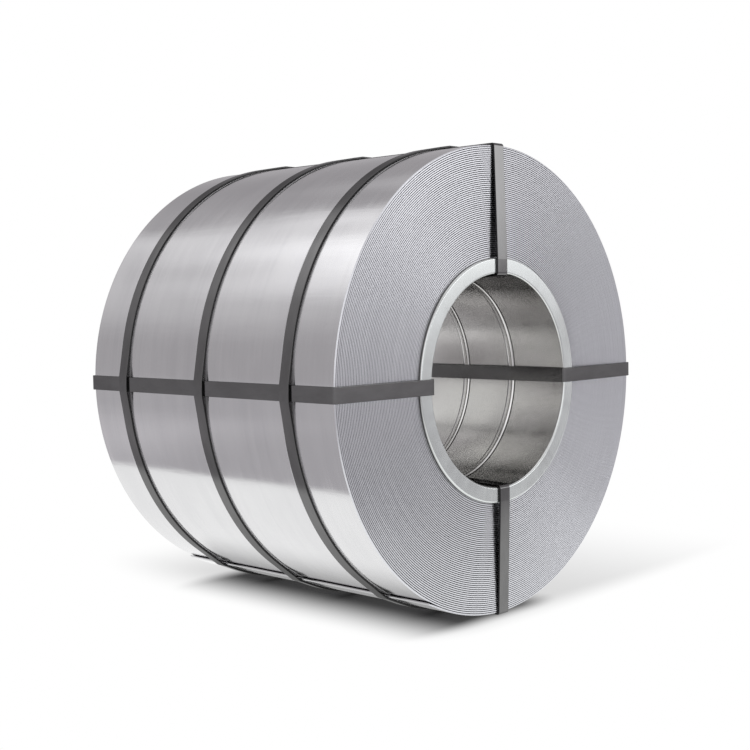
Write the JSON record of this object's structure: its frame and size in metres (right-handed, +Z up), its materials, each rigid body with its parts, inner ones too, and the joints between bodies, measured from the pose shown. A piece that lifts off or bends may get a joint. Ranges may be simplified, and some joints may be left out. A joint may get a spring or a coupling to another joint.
{
  "type": "steel coil",
  "caption": "Coil of bright steel strip lying on its side, wound on a ribbed core sleeve and tied with belts round the outside and straps through the eye.",
  "frame": {"origin": "on the floor under the middle of the coil", "axes": "+Y along the eye from the front end to the rear end, +Z up, +X to the right seen from the front end"},
  "size_m": [1.1317, 0.8904, 1.1349],
  "materials": {
    "strip_steel": "bright cold-rolled strip, satin along the turns, fine turn lines on the ends",
    "sleeve_steel": "smooth bright steel with faint rubbing marks in the bore",
    "strap_steel": "dark grey painted strapping with a dull sheen and worn edges",
    "seal_steel": "dull pressed steel clip, crimped on both sides"
  },
  "bodies": {
    "root": {"coil": "strip_steel", "core_sleeve": "sleeve_steel", "eye_strap_right": "strap_steel", "eye_strap_top": "strap_steel", "eye_strap_left": "strap_steel", "eye_strap_bottom": "strap_steel", "belt_front": "strap_steel", "belt_middle": "strap_steel", "belt_rear": "strap_steel", "strap_seal_right": "seal_steel", "strap_seal_top": "seal_steel", "strap_seal_left": "seal_steel", "strap_seal_bottom": "seal_steel", "belt_seal_front": "seal_steel", "belt_seal_middle": "seal_steel", "belt_seal_rear": "seal_steel"}
  },
  "joints": []
}
